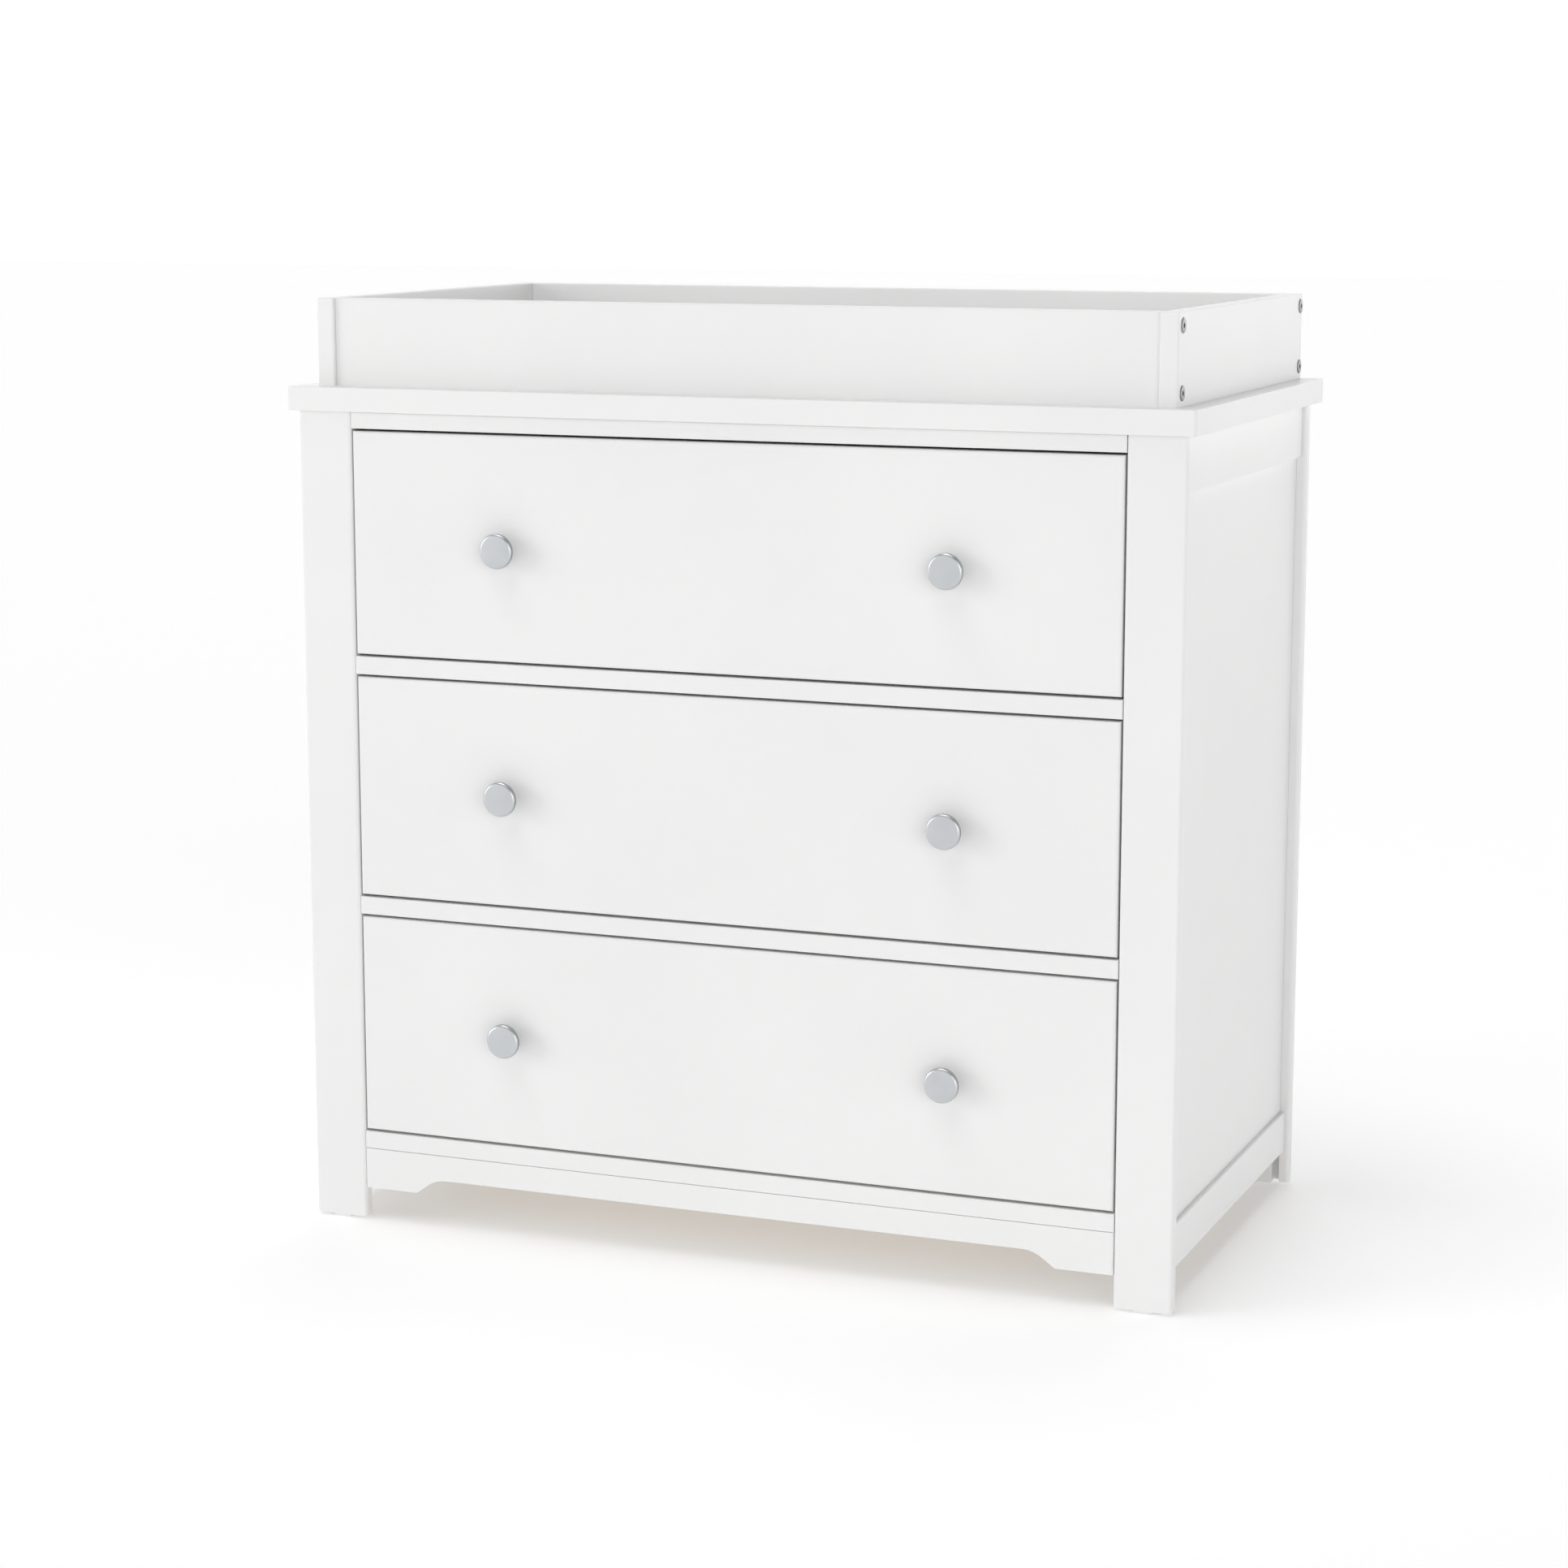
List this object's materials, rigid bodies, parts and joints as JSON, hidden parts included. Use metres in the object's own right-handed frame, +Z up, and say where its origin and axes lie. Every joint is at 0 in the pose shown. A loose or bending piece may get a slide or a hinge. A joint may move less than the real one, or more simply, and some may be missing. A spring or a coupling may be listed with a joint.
{
  "type": "changing table",
  "caption": "White chest of full-width drawers with a raised rim tray on top, for changing and dressing a baby; the drawers slide out and the tray lifts off.",
  "frame": {"origin": "on the floor, in the middle of the outline seen from above, knobs included", "axes": "+Z up, +X to the right of a person facing the drawers, drawers open towards -Y"},
  "size_m": [0.97, 0.534, 0.98],
  "materials": {
    "white_lacquer": "satin white lacquer",
    "drawer_box": "clear matt birch plywood",
    "back_board": "white-faced hardboard, matt",
    "natural_wood": "unfinished beech and pine",
    "satin_nickel": "satin nickel",
    "zinc_steel": "zinc plated",
    "runner_steel": "bright zinc-plated pressed sheet",
    "glide_plastic": "white polypropylene"
  },
  "bodies": {
    "chest": {"top_board": "white_lacquer", "front_left_post": "white_lacquer", "front_right_post": "white_lacquer", "rear_left_post": "white_lacquer", "rear_right_post": "white_lacquer", "left_side_panel": "white_lacquer", "right_side_panel": "white_lacquer", "left_top_side_rail": "white_lacquer", "right_top_side_rail": "white_lacquer", "left_bottom_side_rail": "white_lacquer", "right_bottom_side_rail": "white_lacquer", "front_top_rail": "white_lacquer", "upper_divider_rail": "white_lacquer", "lower_divider_rail": "white_lacquer", "front_bottom_rail": "white_lacquer", "front_apron": "white_lacquer", "rear_top_rail": "white_lacquer", "rear_bottom_rail": "white_lacquer", "back_panel": "back_board", "runner_battens": "natural_wood", "rail_dowels": "natural_wood", "foot_glides": "glide_plastic", "cam_locks": "zinc_steel", "cam_bolts": "zinc_steel", "left_cabinet_runners": "runner_steel", "right_cabinet_runners": "runner_steel"},
    "changing_tray": {"tray_front_board": "white_lacquer", "tray_rear_board": "white_lacquer", "tray_left_board": "white_lacquer", "tray_right_board": "white_lacquer", "tray_bolts": "zinc_steel", "tray_insert_nuts": "zinc_steel", "tray_locating_pegs": "natural_wood"},
    "upper_drawer": {"upper_drawer_front": "white_lacquer", "upper_drawer_left_side": "drawer_box", "upper_drawer_right_side": "drawer_box", "upper_drawer_back": "drawer_box", "upper_drawer_bottom": "drawer_box", "upper_drawer_knobs": "satin_nickel", "upper_drawer_knob_screws": "zinc_steel", "upper_drawer_inner_runners": "runner_steel"},
    "upper_telescopic_rails": {"upper_drawer_telescopic_rails": "runner_steel"},
    "middle_drawer": {"middle_drawer_front": "white_lacquer", "middle_drawer_left_side": "drawer_box", "middle_drawer_right_side": "drawer_box", "middle_drawer_back": "drawer_box", "middle_drawer_bottom": "drawer_box", "middle_drawer_knobs": "satin_nickel", "middle_drawer_knob_screws": "zinc_steel", "middle_drawer_inner_runners": "runner_steel"},
    "middle_telescopic_rails": {"middle_drawer_telescopic_rails": "runner_steel"},
    "lower_drawer": {"lower_drawer_front": "white_lacquer", "lower_drawer_left_side": "drawer_box", "lower_drawer_right_side": "drawer_box", "lower_drawer_back": "drawer_box", "lower_drawer_bottom": "drawer_box", "lower_drawer_knobs": "satin_nickel", "lower_drawer_knob_screws": "zinc_steel", "lower_drawer_inner_runners": "runner_steel"},
    "lower_telescopic_rails": {"lower_drawer_telescopic_rails": "runner_steel"}
  },
  "joints": [
    {"name": "tray_lift", "type": "slide", "parent": "chest", "child": "changing_tray", "axis": [0, 0, 1], "range_m": [0, 0.25]},
    {"name": "upper_drawer_slide", "type": "slide", "parent": "chest", "child": "upper_drawer", "axis": [0, -1, 0], "range_m": [0, 0.36]},
    {"name": "upper_rail_slide", "type": "slide", "parent": "chest", "child": "upper_telescopic_rails", "axis": [0, -1, 0], "range_m": [0, 0.18]},
    {"name": "middle_drawer_slide", "type": "slide", "parent": "chest", "child": "middle_drawer", "axis": [0, -1, 0], "range_m": [0, 0.36]},
    {"name": "middle_rail_slide", "type": "slide", "parent": "chest", "child": "middle_telescopic_rails", "axis": [0, -1, 0], "range_m": [0, 0.18]},
    {"name": "lower_drawer_slide", "type": "slide", "parent": "chest", "child": "lower_drawer", "axis": [0, -1, 0], "range_m": [0, 0.36]},
    {"name": "lower_rail_slide", "type": "slide", "parent": "chest", "child": "lower_telescopic_rails", "axis": [0, -1, 0], "range_m": [0, 0.18]}
  ],
  "couplings": [
    {"joint": "upper_rail_slide", "follows": "upper_drawer_slide", "ratio": 0.5},
    {"joint": "middle_rail_slide", "follows": "middle_drawer_slide", "ratio": 0.5},
    {"joint": "lower_rail_slide", "follows": "lower_drawer_slide", "ratio": 0.5}
  ]
}
